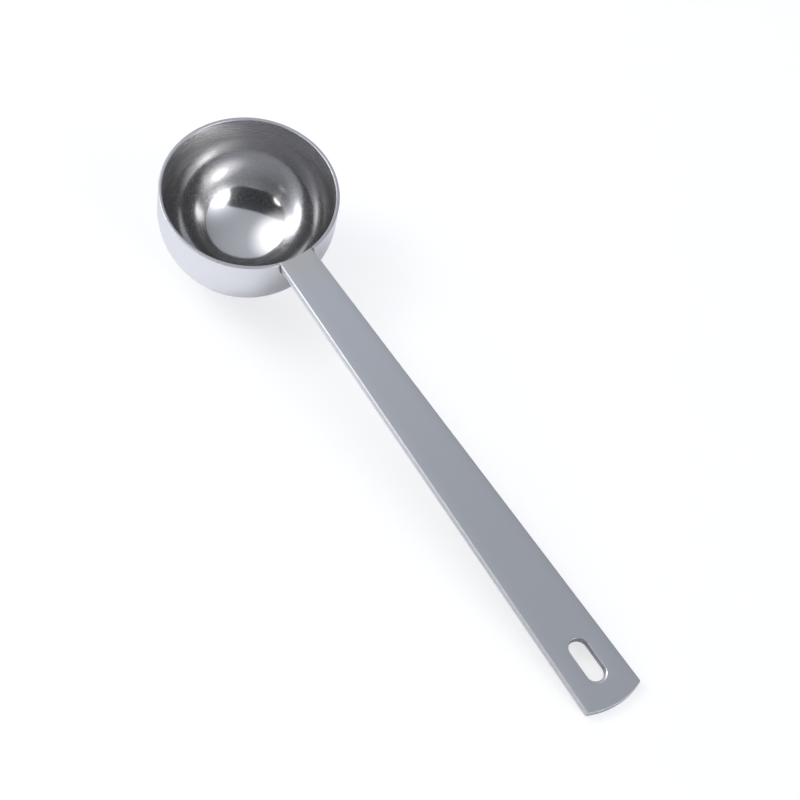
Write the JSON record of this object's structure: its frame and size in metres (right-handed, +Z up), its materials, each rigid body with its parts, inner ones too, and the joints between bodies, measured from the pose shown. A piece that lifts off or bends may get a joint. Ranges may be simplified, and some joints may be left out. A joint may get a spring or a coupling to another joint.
{
  "type": "measuring scoop",
  "caption": "Stainless steel measuring scoop: a deep round cup with a ground rim, and a flat tapered bar handle welded to it and ending in a hanging slot.",
  "frame": {"origin": "point on the surface that the scoop rests on, under the middle of its length and width", "axes": "+X along the scoop from the cup to the handle's free end, +Y across it, +Z up; the scoop lies at rest on the cup's round bottom and the handle's free end, so its rim leans 9.9 degrees towards +X"},
  "size_m": [0.158, 0.04, 0.0292],
  "materials": {
    "cup_steel": "mirror polished inside, satin outside",
    "handle_steel": "satin, with tumbled edges",
    "weld_steel": "dressed weld"
  },
  "bodies": {
    "root": {"cup": "cup_steel", "handle": "handle_steel", "weld_bead": "weld_steel"}
  },
  "joints": []
}
